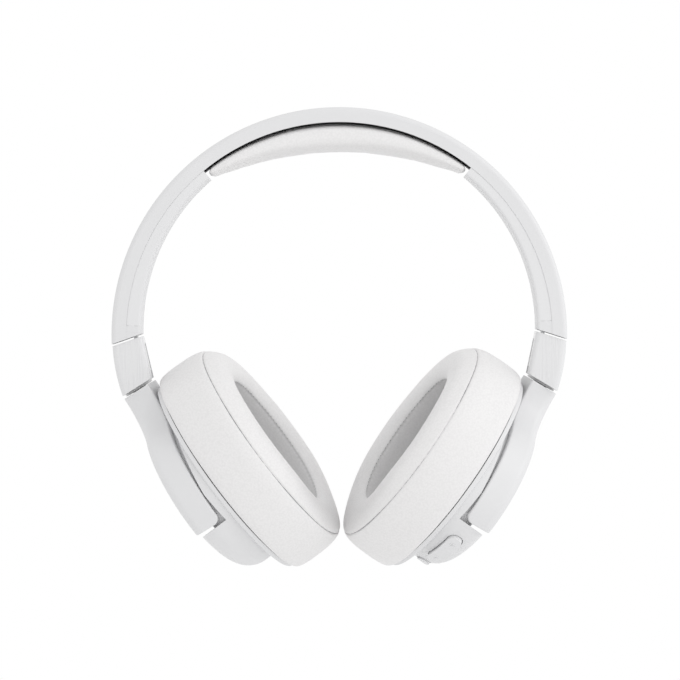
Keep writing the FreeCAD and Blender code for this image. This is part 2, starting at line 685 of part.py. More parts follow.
def cup_housing(side):
    outer = rod(HOUSING_R, V(BAFFLE, 0, 0), V(1, 0, 0), HOUSING_OUT - BAFFLE)
    outer = round_edges(outer, HOUSING_SOFT, at_x(HOUSING_OUT))
    core = rod(core_r(), V(BAFFLE, 0, 0), V(1, 0, 0), CORE_OUT - BAFFLE)
    core = round_edges(core, CORE_SOFT, at_x(CORE_OUT))
    near_pin = CUP_DEPTH + YOKE_RIM_IN - TILT_X - PART_GAP
    far = HOUSING_R + 4
    step = -YOKE_LENGTH - TILT_Z - STEP_GAP
    upper = math.tan(math.radians(CUP_LEAN + TILT_RANGE[1] + TILT_SPARE))
    lower = math.tan(math.radians(-CUP_LEAN - TILT_RANGE[0]))
    points = [(near_pin + step * lower, step), (near_pin, 0), (near_pin - far * upper, far),
              (60, far), (60, step)]
    covered = polygon_y(points, 60.0)
    body = outer.cut(covered.cut(core))
    wall = HOUSING_WALL
    room = rod(core_r() - wall, V(BAFFLE - 1, 0, 0), V(1, 0, 0), CORE_OUT - BAFFLE - wall + 1)
    room = round_edges(room, CORE_SOFT - wall, at_x(CORE_OUT - wall))
    body = body.cut(room)
    for way in (-1, 1):
        inner = core_r() - TILT_PIN_REACH - 0.3
        boss = rod(TILT_PIN_R + 1.8, V(CUP_DEPTH, way * (inner - 1.2), 0), V(0, way, 0),
                   core_r() - 0.6 - inner + 1.2)
        boss = boss.common(rod(core_r(), V(0, 0, 0), V(1, 0, 0), CORE_OUT))
        body = body.fuse(boss)
        body = body.cut(rod(TILT_PIN_R + RUN_FIT, V(CUP_DEPTH, way * inner, 0), V(0, way, 0), 40))
    if side == "right":
        body = body.cut(rim_frame(control_hole(ROCKER_LENGTH, ROCKER_WIDTH), ROCKER_ANGLE))
        body = body.cut(rim_frame(control_hole(PLAY_LENGTH, PLAY_WIDTH), PLAY_ANGLE))
        body = body.cut(rim_frame(switch_slot(), SWITCH_ANGLE))
        body = body.cut(rim_frame(usb_shape(0.05, USB_DEPTH + 6), USB_ANGLE))
        body = body.cut(rim_frame(rod(JACK_BODY / 2 + 0.05, V(RIM_X, 0, 20), V(0, 0, 1), 40),
                                  JACK_ANGLE))
        body = body.cut(rim_frame(rod(1.0, V(RIM_X, 0, 30), V(0, 0, 1), 10), LIGHT_ANGLE))
    body = body.cut(rim_frame(rod(0.7, V(MIC_X, 0, 30), V(0, 0, 1), 10), MIC_ANGLE))
    return place_cup(body, side)


def baffle(side):
    plate = oval(FLANGE_A, FLANGE_B, CUSHION_END - 1.0, 0, BAFFLE)
    plate = round_edges(plate, 0.8, at_x(BAFFLE))
    hole = rod(DRIVER_R - 2.0, V(-1, 0, 0), V(1, 0, 0), 10)
    seat = rod(DRIVER_R + 0.1, V(BAFFLE - 0.8, 0, 0), V(1, 0, 0), 10)
    plate = plate.cut(hole).cut(seat)
    for y, z in screw_places():
        plate = plate.cut(rod(SCREW_R + 0.1, V(-1, y, z), V(1, 0, 0), 10))
    return place_cup(plate, side)


def screw_places():
    places = []
    for angle in (45, 135, 225, 315):
        turned = math.radians(angle)
        places.append((SCREW_CIRCLE * math.cos(turned), SCREW_CIRCLE * math.sin(turned)))
    return places


def cup_screws(side):
    screws = []
    for y, z in screw_places():
        shank = rod(SCREW_R, V(0.1, y, z), V(1, 0, 0), SCREW_LENGTH)
        screws.append(place_cup(shank, side))
    return screws


def cushion_ring(side):
    ring = oval(CUSHION_A - 3, CUSHION_B - 3, CUSHION_END - 3, -RING_THICK, 0)
    ring = ring.cut(oval(OPENING_A, OPENING_B, OPENING_END, -RING_THICK - 1, 1))
    return place_cup(ring, side)


def cushion_face():
    # everything beyond the cushion's slightly slanted face
    low, high = CUSHION_SHIFT - CUSHION_A, CUSHION_SHIFT + CUSHION_A
    thick = CUSHION_DEPTH + CUSHION_RISE
    slope = CUSHION_RISE / (high - low)
    points = [(-CUSHION_DEPTH + 5 * slope, low - 5), (-thick - 5 * slope, high + 5),
              (-thick - 30, high + 5), (-thick - 30, low - 5)]
    return polygon_y(points, 60.0)


def ear_cushion(side):
    back = -RING_THICK - 0.1
    deep = CUSHION_DEPTH + CUSHION_RISE + 2
    body = oval(CUSHION_A, CUSHION_B, CUSHION_END, back, -deep).cut(cushion_face())
    body = round_edges(body, CUSHION_SOFT, lambda edge: edge.BoundBox.XMax < -CUSHION_DEPTH + 3)
    body = round_edges(body, CUSHION_BACK, at_x(back))
    body = body.cut(oval(OPENING_A, OPENING_B, OPENING_END, 1, -deep))
    inner = [edge for edge in body.Edges
             if edge.BoundBox.XMax < -CUSHION_DEPTH + 3
             and edge.BoundBox.ZMax < OPENING_A + CUSHION_SHIFT + 0.5
             and edge.BoundBox.ZMin > CUSHION_SHIFT - OPENING_A - 0.5]
    body = body.makeFillet(CUSHION_SOFT * 0.75, inner)
    return place_cup(body, side)


def ear_mesh(side):
    mesh = oval(OPENING_A - 0.3, OPENING_B - 0.3, OPENING_END - 0.3, -RING_THICK - MESH_THICK, -0.4)
    return place_cup(mesh, side)


def driver_basket(side):
    body = rod(DRIVER_R, V(BAFFLE - 0.8, 0, 0), V(1, 0, 0), DRIVER_DEPTH)
    body = body.cut(rod(DRIVER_R - 1.5, V(-1, 0, 0), V(1, 0, 0), BAFFLE - 0.8 + DRIVER_DEPTH - 0.5))
    body = body.cut(rod(MAGNET_R + 0.05, V(0, 0, 0), V(1, 0, 0), 20))
    return place_cup(body, side)


def driver_magnet(side):
    start = BAFFLE - 0.8 + DRIVER_DEPTH - MAGNET_DEPTH + 1.0
    body = rod(MAGNET_R, V(start, 0, 0), V(1, 0, 0), MAGNET_DEPTH)
    return place_cup(body, side)


def driver_diaphragm(side):
    disc = rod(DRIVER_R - 1.6, V(BAFFLE - 0.7, 0, 0), V(1, 0, 0), DIAPHRAGM)
    return place_cup(disc, side)


# ---- controls of the right cup ----
def usb_shape(grow, depth):
    half = USB_HEIGHT / 2 + grow
    flat = (USB_WIDTH - USB_HEIGHT) / 2
    top = HOUSING_R + 2 if grow > 0 else HOUSING_R - 0.4
    body = box(RIM_X - half, RIM_X + half, -flat, flat, top - depth, top)
    for way in (-1, 1):
        body = body.fuse(rod(half, V(RIM_X, way * flat, top - depth), V(0, 0, 1), depth))
    return body


def switch_slot():
    half = (SWITCH_LENGTH + SWITCH_TRAVEL) / 2 + PART_GAP
    width = SWITCH_WIDTH / 2 + PART_GAP
    through = box(RIM_X - width, RIM_X + width, -half, half, 20.0, HOUSING_R + 5)
    wide = width + LIP
    seat = box(RIM_X - wide, RIM_X + wide, -half - 1.2, half + 1.2, 20.0, HOUSING_R - 2.6)
    return through.fuse(seat)


def volume_rocker(side):
    return place_cup(rim_frame(control_pad(ROCKER_LENGTH, ROCKER_WIDTH, ROCKER_RAISE),
                               ROCKER_ANGLE), side)


def play_button(side):
    return place_cup(rim_frame(control_pad(PLAY_LENGTH, PLAY_WIDTH, PLAY_RAISE), PLAY_ANGLE), side)


def power_switch(side):
    # slides along the rim; at rest it stands at the off end of its slot
    half = SWITCH_LENGTH / 2
    shift = SWITCH_TRAVEL / 2
    width = SWITCH_WIDTH / 2
    stalk = box(RIM_X - width, RIM_X + width, -half - shift, half - shift,
                HOUSING_R - 3.6, HOUSING_R + 0.7)
    sole = box(RIM_X - width - LIP, RIM_X + width + LIP, -half - shift - 0.6, half - shift + 0.6,
               HOUSING_R - 4.2, HOUSING_R - 3.1)
    return place_cup(rim_frame(stalk.fuse(sole), SWITCH_ANGLE), side)


def usb_socket(side):
    body = usb_shape(0, USB_DEPTH)
    hollow_half = USB_HEIGHT / 2 - 0.35
    flat = (USB_WIDTH - USB_HEIGHT) / 2
    top = HOUSING_R - 0.4
    hollow = box(RIM_X - hollow_half, RIM_X + hollow_half, -flat, flat, top - USB_DEPTH + 1, top + 1)
    for way in (-1, 1):
        hollow = hollow.fuse(rod(hollow_half, V(RIM_X, way * flat, top - USB_DEPTH + 1),
                                 V(0, 0, 1), USB_DEPTH))
    tongue = box(RIM_X - 0.35, RIM_X + 0.35, -flat, flat, top - USB_DEPTH + 0.5, top - 1.5)
    return place_cup(rim_frame(body.cut(hollow).fuse(tongue), USB_ANGLE), side)


def audio_jack(side):
    top = HOUSING_R - 0.5
    body = rod(JACK_BODY / 2, V(RIM_X, 0, top - JACK_LENGTH - 1.5), V(0, 0, 1), JACK_LENGTH + 1.5)
    body = body.cut(rod(JACK_R, V(RIM_X, 0, top - JACK_LENGTH), V(0, 0, 1), JACK_LENGTH + 1))
    return place_cup(rim_frame(body, JACK_ANGLE), side)


def status_light(side):
    lens = rod(0.95, V(RIM_X, 0, HOUSING_R - 2.6), V(0, 0, 1), 2.5)
    return place_cup(rim_frame(lens, LIGHT_ANGLE), side)


def microphone(side):
    capsule = rod(1.6, V(MIC_X, 0, core_r() - HOUSING_WALL - 2.2), V(0, 0, 1), 1.8)
    return place_cup(rim_frame(capsule, MIC_ANGLE), side)


def circuit_board(side):
    board = oval(24.0, 21.0, 18.0, CORE_OUT - HOUSING_WALL - 2.6, CORE_OUT - HOUSING_WALL - 1.4)
    return place_cup(board, side)


def battery(side):
    x0 = CORE_OUT - HOUSING_WALL - 4.0
    cell = box(x0, x0 + 3.6, -14, 14, -19, 19)
    edges = [edge for edge in cell.Edges if edge.Length < 5]
    return place_cup(cell.makeFillet(2.5, edges), side)


# ---- output ----
def export(name, shapes):
    shape = shapes if not isinstance(shapes, list) else Part.makeCompound(shapes)
    if not shape.isValid():
        print("not valid:", name)
    shape.exportStep("parts/" + name + ".step")
    print(name, len(shape.Solids), "solid(s), volume", round(shape.Volume, 1))


SIDE_PARTS = {
    "band_trim": band_trim, "slider_guide": slider_guide, "detent_spring": detent_spring,
    "slider_strip": slider_strip, "strip_screws": strip_screws, "hinge_block": hinge_block,
    "hinge_pin": hinge_pin, "hinge_link": hinge_link, "swivel_screw": swivel_screw,
    "yoke": yoke, "tilt_pins": tilt_pins, "cup_housing": cup_housing, "baffle": baffle,
    "cup_screws": cup_screws, "cushion_ring": cushion_ring, "ear_cushion": ear_cushion,
    "ear_mesh": ear_mesh, "driver_basket": driver_basket, "driver_magnet": driver_magnet,
    "driver_diaphragm": driver_diaphragm, "microphone": microphone,
}
RIGHT_PARTS = {
    "volume_rocker": volume_rocker, "play_button": play_button, "power_switch": power_switch,
    "usb_socket": usb_socket, "audio_jack": audio_jack, "status_light": status_light,
    "circuit_board": circuit_board,
}


def main():
    os.makedirs("parts", exist_ok=True)
    export("band_shell", band_shell())
    export("band_spring", band_spring())
    export("band_rivets", band_rivets())
    export("band_cable", band_cable())
    export("band_screws", band_screws())
    export("crown_pad_base", crown_pad_base())
    export("crown_pad", crown_pad())
    for side in ("left", "right"):
        for name, make in SIDE_PARTS.items():
            export(side + "_" + name, make(side))
    for name, make in RIGHT_PARTS.items():
        export(name, make("right"))
    export("battery", battery("left"))


if __name__ == "__main__":
    main()
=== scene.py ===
# %% [markdown]
# # Over-ear headphones: the finishes and the soft parts
#
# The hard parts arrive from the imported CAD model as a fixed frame. This lesson gives each of them
# its finish, and makes the parts that are soft on the real object: two leatherette ear cushions and
# the crown pad. Everything is in metres, in the frame of the CAD model: +X is the wearer's right,
# -Y the front and +Z up, with the origin at the centre of the head band's arc.

# %% Load the frame
import math
import bmesh
import bpy
from mathutils import Matrix, Vector, noise
from mathutils.kdtree import KDTree


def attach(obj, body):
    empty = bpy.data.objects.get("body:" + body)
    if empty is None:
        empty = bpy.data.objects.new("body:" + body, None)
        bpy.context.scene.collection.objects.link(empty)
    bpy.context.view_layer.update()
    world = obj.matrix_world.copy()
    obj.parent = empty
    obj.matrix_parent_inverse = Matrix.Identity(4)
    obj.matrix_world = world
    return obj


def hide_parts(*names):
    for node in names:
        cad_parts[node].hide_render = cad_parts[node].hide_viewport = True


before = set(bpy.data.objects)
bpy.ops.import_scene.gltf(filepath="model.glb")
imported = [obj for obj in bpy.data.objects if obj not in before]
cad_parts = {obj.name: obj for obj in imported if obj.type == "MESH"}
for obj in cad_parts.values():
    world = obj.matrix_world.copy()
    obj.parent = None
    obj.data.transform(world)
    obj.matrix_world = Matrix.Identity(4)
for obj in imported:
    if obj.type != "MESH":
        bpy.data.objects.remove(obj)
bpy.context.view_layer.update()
MM = 0.001

# %% [markdown]
# ## Helpers for finishes
#
# Colours are chosen as sRGB hex values, as a paint chart gives them, and turned to linear light by
# one function. Nodes are added by one small function that takes the node's type, its settings and
# its links, so that each material below reads as a short recipe.

# %% Colour and node helpers
def linear(hex_code):
    """An sRGB colour such as "f2f2f0" as linear RGBA."""
    values = [int(hex_code[i:i + 2], 16) / 255 for i in (0, 2, 4)]
    return [v / 12.92 if v <= 0.04045 else ((v + 0.055) / 1.055) ** 2.4 for v in values] + [1.0]


def add(tree, kind, settings=None, **inputs):
    """Adds a node. An input is a value or another node's output socket; _ stands for a space."""
    node = tree.nodes.new("ShaderNode" + kind)
    for name, value in (settings or {}).items():
        setattr(node, name, value)
    for name, value in inputs.items():
        key = int(name[1:]) if name[0] == "i" and name[1:].isdigit() else name.replace("_", " ")
        socket = node.inputs[key]
        if isinstance(value, bpy.types.NodeSocket):
            tree.links.new(value, socket)
        else:
            socket.default_value = value
    return node


def new_material(name, hex_code, roughness, **constants):
    """A Principled material with its constant values set on the shader's own sockets."""
    material = bpy.data.materials.new(name)
    material.use_nodes = True
    tree = material.node_tree
    shader = tree.nodes["Principled BSDF"]
    shader.inputs["Base Color"].default_value = linear(hex_code)
    shader.inputs["Roughness"].default_value = roughness
    for key, value in constants.items():
        shader.inputs[key.replace("_", " ")].default_value = value
    material.diffuse_color = linear(hex_code)
    return material, tree, shader


def ramp(tree, factor, low, high, start=0.0, end=1.0):
    """Maps factor from start..end to low..high."""
    return add(tree, "MapRange", {}, Value=factor, From_Min=start, From_Max=end,
               To_Min=low, To_Max=high).outputs["Result"]


def tint(tree, factor, hex_a, hex_b):
    """A colour between two hex colours by factor."""
    return add(tree, "Mix", {"data_type": "RGBA"}, i0=factor, i6=linear(hex_a),
               i7=linear(hex_b)).outputs[2]


def place_of(tree, scale=(1, 1, 1), turn=(0, 0, 0)):
    """Object coordinates, stretched and turned."""
    coordinates = add(tree, "TexCoord").outputs["Object"]
    return add(tree, "Mapping", {}, Vector=coordinates, Scale=scale,
               Rotation=turn).outputs["Vector"]


def cells_per_metre(size_mm):
    """The texture scale that gives features of this size."""
    return 1 / (size_mm * MM)


# %% [markdown]
# ## Moulded plastics
#
# The arch, the yokes and the housings are injection-moulded ABS. The mould is spark eroded, which
# leaves a very fine even grain and a satin sheen. The grain of the real mould is about 0.1 mm; it
# is drawn at 0.35 mm, because finer would not show. A slow change in gloss stands for handling.

# %% Satin moulded ABS
def moulded_abs(name, hex_low, hex_high, roughness, grain_mm=0.35, depth=0.02):
    material, tree, shader = new_material(name, hex_high, roughness, IOR=1.53)
    place = place_of(tree)
    grain = add(tree, "TexNoise", {}, Vector=place, Scale=cells_per_metre(grain_mm),
                Detail=3.0, Roughness=0.6).outputs["Fac"]
    slow = add(tree, "TexNoise", {}, Vector=place, Scale=cells_per_metre(28.0),
               Detail=2.0).outputs["Fac"]
    tree.links.new(tint(tree, slow, hex_low, hex_high), shader.inputs["Base Color"])
    mixed = add(tree, "Math", {"operation": "MULTIPLY_ADD"}, i0=grain, i1=0.35,
                i2=slow).outputs[0]
    tree.links.new(ramp(tree, mixed, roughness - 0.07, roughness + 0.09, 0.3, 1.0),
                   shader.inputs["Roughness"])
    bump = add(tree, "Bump", {}, Strength=0.35, Distance=depth * MM, Height=grain)
    tree.links.new(bump.outputs["Normal"], shader.inputs["Normal"])
    return material


satin_abs = moulded_abs("satin_moulded_abs", "d5d5d6", "dadadb", 0.40)
trim_abs = moulded_abs("trim_moulded_abs", "d8d8d9", "dcdcdd", 0.44)
liner_abs = moulded_abs("grey_liner_abs", "b9babc", "c3c4c6", 0.50)
print("plastics:", satin_abs.name, trim_abs.name, liner_abs.name)

# %% [markdown]
# The hinge blocks are moulded in a harder, glossier polycarbonate blend and then tumbled lightly.
# The light picks out faint streaks along the direction of sliding, so the noise is stretched
# along Z.

# %% Streaked polycarbonate
def streaked_polycarbonate():
    material, tree, shader = new_material("streaked_polycarbonate", "dcdcdd", 0.26, IOR=1.58)
    shader.inputs["Coat Weight"].default_value = 0.25
    shader.inputs["Coat Roughness"].default_value = 0.12
    long_place = place_of(tree, scale=(1, 1, 0.04))
    streak = add(tree, "TexNoise", {}, Vector=long_place, Scale=cells_per_metre(1.1),
                 Detail=4.0, Roughness=0.65).outputs["Fac"]
    tree.links.new(tint(tree, streak, "d3d3d5", "dcdcdc"), shader.inputs["Base Color"])
    tree.links.new(ramp(tree, streak, 0.20, 0.36, 0.3, 0.7), shader.inputs["Roughness"])
    bump = add(tree, "Bump", {}, Strength=0.12, Distance=0.01 * MM, Height=streak)
    tree.links.new(bump.outputs["Normal"], shader.inputs["Normal"])
    return material


block_plastic = streaked_polycarbonate()
print("block finish:", block_plastic.name)

# %% [markdown]
# ## Protein leatherette
#
# The cushions and the pad are wrapped in polyurethane leatherette, calendered with a pebble grain.
# Real pebbles are about 0.6 mm; here they are 0.8 mm so that they show. Each pebble is a rounded
# cell between fine creases. The creases are a little duller, and painted greyer as shade in them.

# %% Leatherette
def leatherette():
    material, tree, shader = new_material("white_leatherette", "dddcdc", 0.52, IOR=1.47)
    shader.inputs["Sheen Weight"].default_value = 0.12
    shader.inputs["Sheen Roughness"].default_value = 0.45
    place = place_of(tree)
    drift = add(tree, "TexNoise", {}, Vector=place, Scale=cells_per_metre(4.0),
                Detail=2.0).outputs["Color"]
    bent = add(tree, "VectorMath", {"operation": "MULTIPLY_ADD"}, i0=drift,
               i1=(0.0009, 0.0009, 0.0009), i2=place).outputs["Vector"]
    pebbles = add(tree, "TexVoronoi", {"feature": "SMOOTH_F1"}, Vector=bent,
                  Scale=cells_per_metre(0.8), Smoothness=0.5).outputs["Distance"]
    pores = add(tree, "TexNoise", {}, Vector=place, Scale=cells_per_metre(0.25),
                Detail=2.0).outputs["Fac"]
    folds = add(tree, "TexNoise", {}, Vector=place, Scale=cells_per_metre(7.0),
                Detail=4.0, Roughness=0.6).outputs["Fac"]
    height = add(tree, "Math", {"operation": "MULTIPLY_ADD"}, i0=pebbles, i1=-1.0,
                 i2=ramp(tree, pores, 0.0, 0.25)).outputs[0]
    height = add(tree, "Math", {"operation": "MULTIPLY_ADD"}, i0=folds, i1=1.6,
                 i2=height).outputs[0]
    bump = add(tree, "Bump", {}, Strength=0.5, Distance=0.035 * MM, Height=height)
    tree.links.new(bump.outputs["Normal"], shader.inputs["Normal"])
    # The creases are painted darker than the pebbles' tops: painted shade. Their duller roughness
    # is real.
    crease = ramp(tree, pebbles, 0.0, 1.0, 0.25, 0.75)
    tree.links.new(tint(tree, crease, "e2e1e1", "dddcdc"), shader.inputs["Base Color"])
    tree.links.new(ramp(tree, crease, 0.44, 0.62), shader.inputs["Roughness"])
    return material


def sewing_thread():
    """Polyester thread, twisted: a soft diagonal ply along each stitch, 0.3 mm a turn."""
    # The thread's grey, darker than the leatherette, is painted shade: it stands for the shadow in
    # the stitch holes.
    material, tree, shader = new_material("polyester_thread", "a9a9ac", 0.6, IOR=1.5)
    shader.inputs["Sheen Weight"].default_value = 0.3
    ply = add(tree, "TexWave", {"bands_direction": "DIAGONAL"}, Vector=place_of(tree),
              Scale=cells_per_metre(0.3) / 20, Distortion=1.0).outputs["Fac"]
    tree.links.new(tint(tree, ply, "98989b", "b8b8ba"), shader.inputs["Base Color"])
    bump = add(tree, "Bump", {}, Strength=0.5, Distance=0.04 * MM, Height=ply)
    tree.links.new(bump.outputs["Normal"], shader.inputs["Normal"])
    return material


def seam_welt():
    """The folded edge deep in a seam: grey, matt and fibrous. Its grey is painted shade for the
    depth of the seam.
    """
    material, tree, shader = new_material("seam_welt", "8f8f92", 0.85, IOR=1.45)
    fibre = add(tree, "TexNoise", {}, Vector=place_of(tree), Scale=cells_per_metre(0.5),
                Detail=3.0).outputs["Fac"]
    tree.links.new(tint(tree, fibre, "7d7d80", "a0a0a3"), shader.inputs["Base Color"])
    bump = add(tree, "Bump", {}, Strength=0.6, Distance=0.05 * MM, Height=fibre)
    tree.links.new(bump.outputs["Normal"], shader.inputs["Normal"])
    return material


leather, thread, welt = leatherette(), sewing_thread(), seam_welt()
print("soft finishes:", leather.name, thread.name, welt.name)

# %% [markdown]
# ## Metals, cable and the parts inside
#
# The slider strips are stainless spring steel, brushed along their length. Screws, rivets and pins
# are turned or headed steel. The folding link is die-cast zinc, powder coated white.

# %% Metals
def brushed_steel(name, hex_a, hex_b, roughness, grain=(1, 1, 0.03)):
    material, tree, shader = new_material(name, hex_a, roughness, Metallic=1.0)
    lines = add(tree, "TexNoise", {}, Vector=place_of(tree, scale=grain),
                Scale=cells_per_metre(0.25), Detail=3.0).outputs["Fac"]
    tree.links.new(tint(tree, lines, hex_a, hex_b), shader.inputs["Base Color"])
    tree.links.new(ramp(tree, lines, roughness - 0.06, roughness + 0.12),
                   shader.inputs["Roughness"])
    bump = add(tree, "Bump", {}, Strength=0.3, Distance=0.01 * MM, Height=lines)
    tree.links.new(bump.outputs["Normal"], shader.inputs["Normal"])
    return material


spring_steel = brushed_steel("brushed_spring_steel", "b4b5b7", "c9cacb", 0.30)
turned_steel = brushed_steel("turned_steel", "a9aaac", "c4c4c6", 0.34, grain=(1, 1, 1))
port_steel = brushed_steel("stamped_port_steel", "98999b", "b6b6b8", 0.36, grain=(1, 0.2, 1))


def powder_coated_zinc():
    """A baked powder coat on cast zinc: an orange-peel skin with dimples about 0.8 mm apart."""
    material, tree, shader = new_material("powder_coated_zinc", "d8d8d9", 0.36, IOR=1.5)
    peel = add(tree, "TexNoise", {}, Vector=place_of(tree), Scale=cells_per_metre(0.8),
               Detail=1.0).outputs["Fac"]
    tree.links.new(tint(tree, peel, "d5d5d6", "dddddd"), shader.inputs["Base Color"])
    bump = add(tree, "Bump", {}, Strength=0.3, Distance=0.03 * MM, Height=peel)
    tree.links.new(bump.outputs["Normal"], shader.inputs["Normal"])
    return material


link_coat = powder_coated_zinc()
print("metals:", spring_steel.name, turned_steel.name, port_steel.name, link_coat.name)

# %% [markdown]
# The remaining finishes belong to small or inner parts: the extruded PVC of the flat cable, the
# moulded basket and the pressed pulp film of each driver, the circuit board's solder mask, the
# battery's shrink wrap, the black jack insert and the clear light pipe.

# %% Inner finishes
def speckled(name, hex_a, hex_b, roughness, size_mm, depth_mm, **constants):
    """A plain moulded, pressed or extruded surface with a fine speckle of this size."""
    material, tree, shader = new_material(name, hex_a, roughness, **constants)
    speck = add(tree, "TexNoise", {}, Vector=place_of(tree), Scale=cells_per_metre(size_mm),
                Detail=3.0).outputs["Fac"]
    tree.links.new(tint(tree, speck, hex_a, hex_b), shader.inputs["Base Color"])
    bump = add(tree, "Bump", {}, Strength=0.4, Distance=depth_mm * MM, Height=speck)
    tree.links.new(bump.outputs["Normal"], shader.inputs["Normal"])
    return material


cable_pvc = speckled("extruded_pvc_cable", "2b2b2d", "38383a", 0.5, 1.2, 0.02, IOR=1.53)
basket_pps = speckled("moulded_pps_basket", "4a4b4e", "58595c", 0.55, 0.6, 0.02, IOR=1.6)
pulp_film = speckled("pressed_pulp_film", "b9b09a", "cdc5b0", 0.7, 0.9, 0.05, IOR=1.45)
solder_mask = speckled("green_solder_mask", "17482b", "1f5c38", 0.35, 2.5, 0.03, IOR=1.55)
shrink_wrap = speckled("blue_shrink_wrap", "3c4663", "4a5575", 0.4, 3.0, 0.05, IOR=1.5)
black_insert = speckled("black_nylon_insert", "161617", "202022", 0.45, 0.5, 0.02, IOR=1.53)
light_pipe = speckled("clear_light_pipe", "eef0f0", "f6f8f8", 0.15, 1.0, 0.01, IOR=1.49,
                      Transmission_Weight=0.6)
print("inner finishes:", cable_pvc.name, pulp_film.name, solder_mask.name)

# %% [markdown]
# ## The cup's own frame
#
# Each cup leans, tilts and swivels, so its soft parts are drawn upright and then moved into place
# with one matrix per side. The matrix repeats the rest position of the design: first the cup in
# its yoke, then the yoke on its tilted stem, then the turn about the stem. The left is the mirror.

# %% Cup placement
NECK = Vector((82.3, 0, -20.5)) * MM
YOKE_TILT, CUP_LEAN, CUP_DEPTH = 31.5, 4.3, 12.0 * MM
TILT_PIN = Vector((-1.0, 0, -51.3)) * MM
REST_SWIVEL = {"left": 10.5, "right": 12.5}
SIDES = ("left", "right")


def cup_matrix(side):
    """From the cup's frame (back of the cushion at the origin, +X outward) to the row frame."""
    def about(degrees, axis):
        return Matrix.Rotation(math.radians(degrees), 4, axis)
    stem = Vector((math.sin(math.radians(YOKE_TILT)), 0, math.cos(math.radians(YOKE_TILT))))
    in_yoke = Matrix.Translation(TILT_PIN) @ about(CUP_LEAN, "Y")
    in_yoke = in_yoke @ Matrix.Translation((-CUP_DEPTH, 0, 0))
    on_stem = about(REST_SWIVEL[side], stem) @ about(YOKE_TILT, "Y")
    whole = Matrix.Translation(NECK) @ on_stem @ in_yoke
    return whole if side == "right" else Matrix.Scale(-1, 4, (1, 0, 0)) @ whole


CUP = {side: cup_matrix(side) for side in SIDES}
for side in SIDES:
    print(side, "cup origin, mm:", [round(v / MM, 1) for v in CUP[side].translation])

# %% [markdown]
# ## Finishes on the CAD parts
#
# Every hard CAD part keeps its shape and gets its finish here. The knitted cloth over each driver
# follows the cup's own plane, so its pattern is turned with the cup.

# %% Speaker cloth
def speaker_cloth(side):
    """Knitted polyester over the driver: ribs 0.8 mm apart, a hole between each two loops."""
    material, tree, shader = new_material("knitted_cloth_" + side, "77787b", 0.9, IOR=1.45)
    shader.inputs["Sheen Weight"].default_value = 0.35
    turn = CUP[side].to_3x3()
    if side == "left":
        turn = Matrix.Scale(-1, 3, (1, 0, 0)) @ turn
    flat = place_of(tree, turn=turn.inverted().to_euler())
    parts = add(tree, "SeparateXYZ", {}, Vector=flat).outputs
    waves = []
    for axis in ("Y", "Z"):
        cycles = add(tree, "Math", {"operation": "MULTIPLY"}, i0=parts[axis],
                     i1=2 * math.pi * cells_per_metre(0.8)).outputs[0]
        wave = add(tree, "Math", {"operation": "SINE"}, i0=cycles).outputs[0]
        waves.append(wave)
    knit = add(tree, "Math", {"operation": "MULTIPLY"}, i0=waves[0], i1=waves[1]).outputs[0]
    tree.links.new(tint(tree, ramp(tree, knit, 0, 1, -0.4, 0.6), "4e4f52", "8b8c8f"),
                   shader.inputs["Base Color"])
    bump = add(tree, "Bump", {}, Strength=0.8, Distance=0.15 * MM, Height=knit)
    tree.links.new(bump.outputs["Normal"], shader.inputs["Normal"])
    return material


cloth = {side: speaker_cloth(side) for side in SIDES}
print("cloths:", [m.name for m in cloth.values()])

# %% Give each CAD part its finish
FINISHES = [
    (satin_abs, ["band_shell", "{s}_yoke", "{s}_cup_housing", "{s}_baffle", "{s}_cushion_ring"]),
    (trim_abs, ["{s}_band_trim", "{s}_slider_guide", "volume_rocker", "play_button",
                "power_switch"]),
    (liner_abs, ["crown_pad_base"]),
    (block_plastic, ["{s}_hinge_block"]),
    (link_coat, ["{s}_hinge_link"]),
    (spring_steel, ["band_spring", "{s}_slider_strip", "{s}_detent_spring"]),
    (turned_steel, ["band_rivets", "band_screws", "{s}_strip_screws", "{s}_hinge_pin",
                    "{s}_swivel_screw", "{s}_tilt_pins", "{s}_cup_screws", "{s}_driver_magnet"]),
    (port_steel, ["usb_socket"]),
    (cable_pvc, ["band_cable"]),
    (basket_pps, ["{s}_driver_basket"]),
    (pulp_film, ["{s}_driver_diaphragm"]),
    (solder_mask, ["circuit_board", "{s}_microphone"]),
    (shrink_wrap, ["battery"]),
    (black_insert, ["audio_jack"]),
    (light_pipe, ["status_light"]),
    (leather, ["crown_pad", "{s}_ear_cushion"]),
]


def wear(node, material):
    """Puts one material on a CAD part."""
    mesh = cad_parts[node].data
    mesh.materials.clear()
    mesh.materials.append(material)


dressed = set()
for material, patterns in FINISHES:
    for pattern in patterns:
        for side in (SIDES if "{s}" in pattern else ("",)):
            wear(pattern.replace("{s}", side), material)
            dressed.add(pattern.replace("{s}", side))
for side in SIDES:
    wear(side + "_ear_mesh", cloth[side])
    dressed.add(side + "_ear_mesh")
print("dressed", len(dressed), "of", len(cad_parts), "nodes; left:",
      sorted(set(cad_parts) - dressed))

# %% [markdown]
# ## Soft parts: shared tools
#
# A cushion is made of panels sewn together over foam. The panels bulge between the seams and are
# held at them. Here each one starts as a grid of quads whose loops follow the seams. Blender's
# Cloth then puffs it up with a little pressure while the seam loops are pinned, as thread does.

# %% Grids, cloth and placing
PUFF_PRESSURE = 3.0


def deselect():
    bpy.ops.object.select_all(action="DESELECT")


def select_only(piece):
    """Selects this piece alone and makes it the active one, as the operators need."""
    deselect()
    piece.select_set(True)
    bpy.context.view_layer.objects.active = piece


